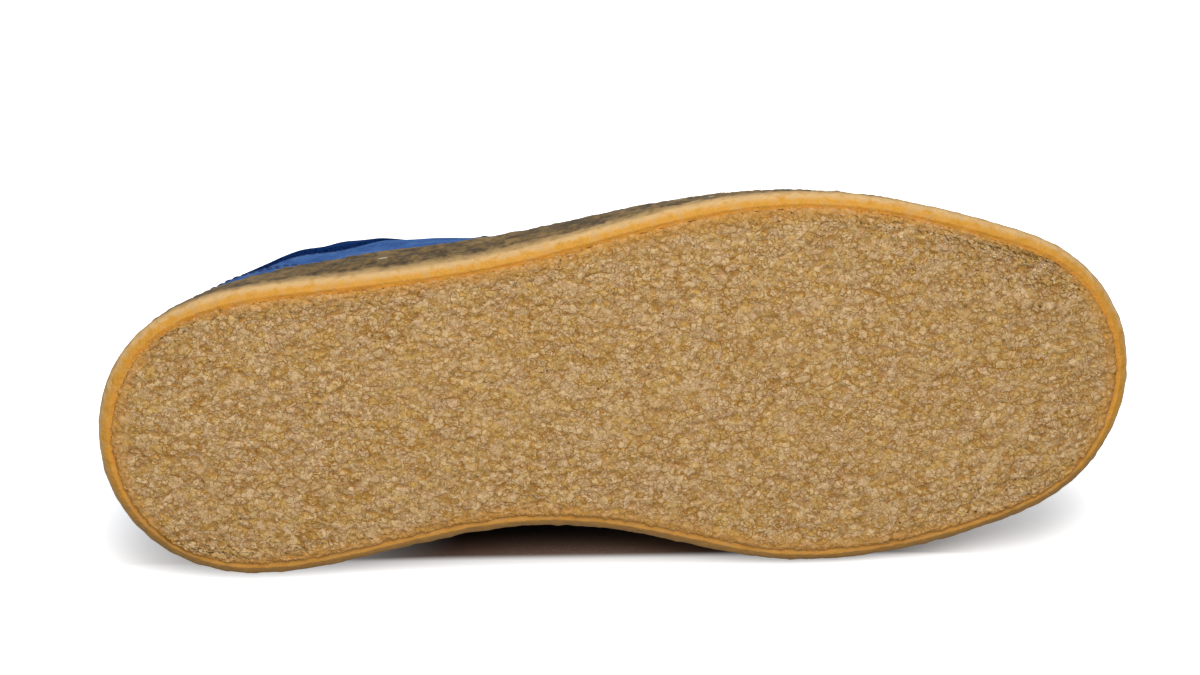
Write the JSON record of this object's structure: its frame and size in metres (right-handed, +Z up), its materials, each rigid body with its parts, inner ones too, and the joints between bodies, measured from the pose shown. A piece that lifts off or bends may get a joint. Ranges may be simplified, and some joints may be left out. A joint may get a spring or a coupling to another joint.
{
  "type": "sneaker",
  "caption": "Low suede sneaker on a moulded crepe cup sole, hollow inside, lying on its medial side with the tread showing.",
  "frame": {"origin": "centre of the base of the bounding box, on the surface that the shoe lies on", "axes": "+X from the heel to the toe, +Z up from the surface, and the tread faces -Y"},
  "size_m": [0.2984, 0.1292, 0.1086],
  "materials": {
    "crepe_side": "rough crepe, slightly glossy",
    "crepe_tread": "crumbly matt crepe",
    "insole_cloth": "woven cloth",
    "blue_suede": "suede",
    "navy_lining": "padded woven cloth",
    "navy_lace": "flat braid"
  },
  "bodies": {
    "root": {"sole_cup": "crepe_side", "outsole_tread": "crepe_tread", "insole": "insole_cloth", "upper": "blue_suede", "eyestay": "blue_suede", "heel_counter": "blue_suede", "tongue": "blue_suede", "collar": "navy_lining", "laces": "navy_lace"}
  },
  "joints": []
}
